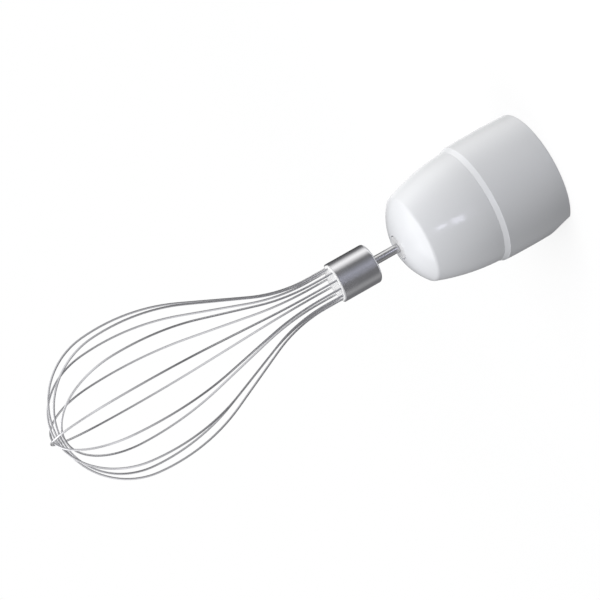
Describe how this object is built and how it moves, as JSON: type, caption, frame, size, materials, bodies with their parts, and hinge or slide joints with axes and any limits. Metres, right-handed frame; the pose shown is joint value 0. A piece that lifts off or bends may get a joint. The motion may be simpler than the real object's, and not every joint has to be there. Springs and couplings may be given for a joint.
{
  "type": "immersion blender whisk attachment",
  "caption": "Balloon whisk with a steel ferrule and shaft that pushes into a white gearbox collar, which slips over the drive end of a hand blender.",
  "frame": {"origin": "centre of the coupling rim, on the plane that it stands on", "axes": "+Z from the coupling rim to the whisk tip, -X through the notch in the rim"},
  "size_m": [0.0662, 0.0662, 0.2418],
  "materials": {
    "white_shell": "high gloss moulded white",
    "plate_plastic": "moulded off-white",
    "plug_plastic": "moulded white",
    "dog_plastic": "moulded dark grey",
    "gear_plastic": "natural acetal, greased",
    "carrier_plastic": "glass-filled nylon",
    "seal_rubber": "matt",
    "bearing_bronze": "sintered",
    "fastener_steel": "zinc plated",
    "turned_steel": "turned",
    "spring_steel": "blued spring steel",
    "shaft_steel": "ground and polished",
    "ferrule_steel": "polished along its length",
    "wire_steel": "drawn bright wire"
  },
  "bodies": {
    "collar": {"coupling_skirt": "white_shell", "gear_bell": "white_shell", "bearing_plate": "plate_plastic", "plate_screws": "fastener_steel", "gearbox_gasket": "seal_rubber", "input_bush": "bearing_bronze", "ring_gear": "gear_plastic", "output_bush": "bearing_bronze", "output_thrust_washer": "turned_steel", "nose_seal": "seal_rubber"},
    "output": {"planet_carrier": "carrier_plastic", "planet_pins": "turned_steel", "carrier_retainer": "spring_steel", "whisk_detent_ring": "spring_steel"},
    "input": {"drive_dog": "dog_plastic", "input_shaft": "turned_steel", "input_thrust_washer": "turned_steel", "input_retaining_clip": "spring_steel", "sun_gear": "turned_steel"},
    "planet_1": {"planet_gear_1": "gear_plastic"},
    "planet_2": {"planet_gear_2": "gear_plastic"},
    "planet_3": {"planet_gear_3": "gear_plastic"},
    "whisk": {"whisk_shaft": "shaft_steel", "ferrule": "ferrule_steel", "wire_plug": "plug_plastic", "whisk_wire_1": "wire_steel", "whisk_wire_2": "wire_steel", "whisk_wire_3": "wire_steel", "whisk_wire_4": "wire_steel", "whisk_wire_5": "wire_steel", "whisk_wire_6": "wire_steel"}
  },
  "joints": [
    {"name": "whisk_spin", "type": "hinge", "parent": "collar", "child": "output", "pos_m": [0, 0, 0.058], "axis": [0, 0, 1], "continuous": true},
    {"name": "input_spin", "type": "hinge", "parent": "collar", "child": "input", "pos_m": [0, 0, 0.028], "axis": [0, 0, 1], "continuous": true},
    {"name": "planet_spin_1", "type": "hinge", "parent": "output", "child": "planet_1", "pos_m": [0.009, 0, 0.0398], "axis": [0, 0, 1], "continuous": true},
    {"name": "planet_spin_2", "type": "hinge", "parent": "output", "child": "planet_2", "pos_m": [-0.0045, 0.00779, 0.0398], "axis": [0, 0, 1], "continuous": true},
    {"name": "planet_spin_3", "type": "hinge", "parent": "output", "child": "planet_3", "pos_m": [-0.0045, -0.00779, 0.0398], "axis": [0, 0, 1], "continuous": true},
    {"name": "whisk_pull", "type": "slide", "parent": "output", "child": "whisk", "axis": [0, 0, 1], "range_m": [0, 0.02]}
  ],
  "couplings": [
    {"joint": "input_spin", "follows": "whisk_spin", "ratio": 5},
    {"joint": "planet_spin_1", "follows": "whisk_spin", "ratio": -2.6667},
    {"joint": "planet_spin_2", "follows": "whisk_spin", "ratio": -2.6667},
    {"joint": "planet_spin_3", "follows": "whisk_spin", "ratio": -2.6667}
  ]
}
